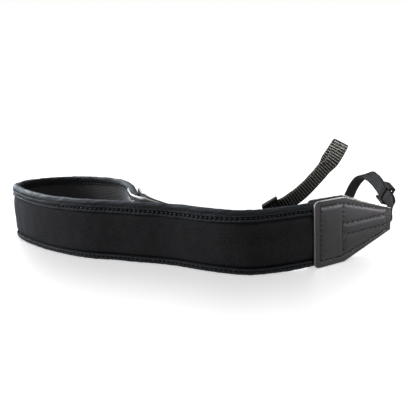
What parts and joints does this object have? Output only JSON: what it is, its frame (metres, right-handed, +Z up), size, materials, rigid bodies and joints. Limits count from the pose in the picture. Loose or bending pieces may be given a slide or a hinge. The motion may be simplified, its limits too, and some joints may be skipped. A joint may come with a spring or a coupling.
{
  "type": "camera neck strap",
  "caption": "Padded neck band with bound edges, standing on its edge in a loop, with leather end tabs, narrow webbing ends, sliders and open lug loops.",
  "frame": {"origin": "centre of the strap's plan box, on the surface that it stands on", "axes": "+X along the front of the band, from its bend towards the near tab; +Y from the front to the far band; +Z up"},
  "size_m": [0.3098, 0.1838, 0.0888],
  "materials": {
    "neoprene": "smooth knit face over foam, matte",
    "lining": "fine lengthwise ribs, matte",
    "binding_tape": "woven tape, matte with a slight sheen",
    "leather": "soft gloss with fine grain",
    "webbing": "narrow webbing with ribs across it",
    "slider_plastic": "moulded satin plastic"
  },
  "bodies": {
    "root": {"pad": "neoprene", "lining": "lining", "binding_upper": "binding_tape", "binding_lower": "binding_tape", "near_tab_outer_ply": "leather", "near_tab_inner_ply": "leather", "far_tab_outer_ply": "leather", "far_tab_inner_ply": "leather", "near_webbing": "webbing", "far_webbing": "webbing", "near_slider": "slider_plastic", "far_slider": "slider_plastic"}
  },
  "joints": []
}
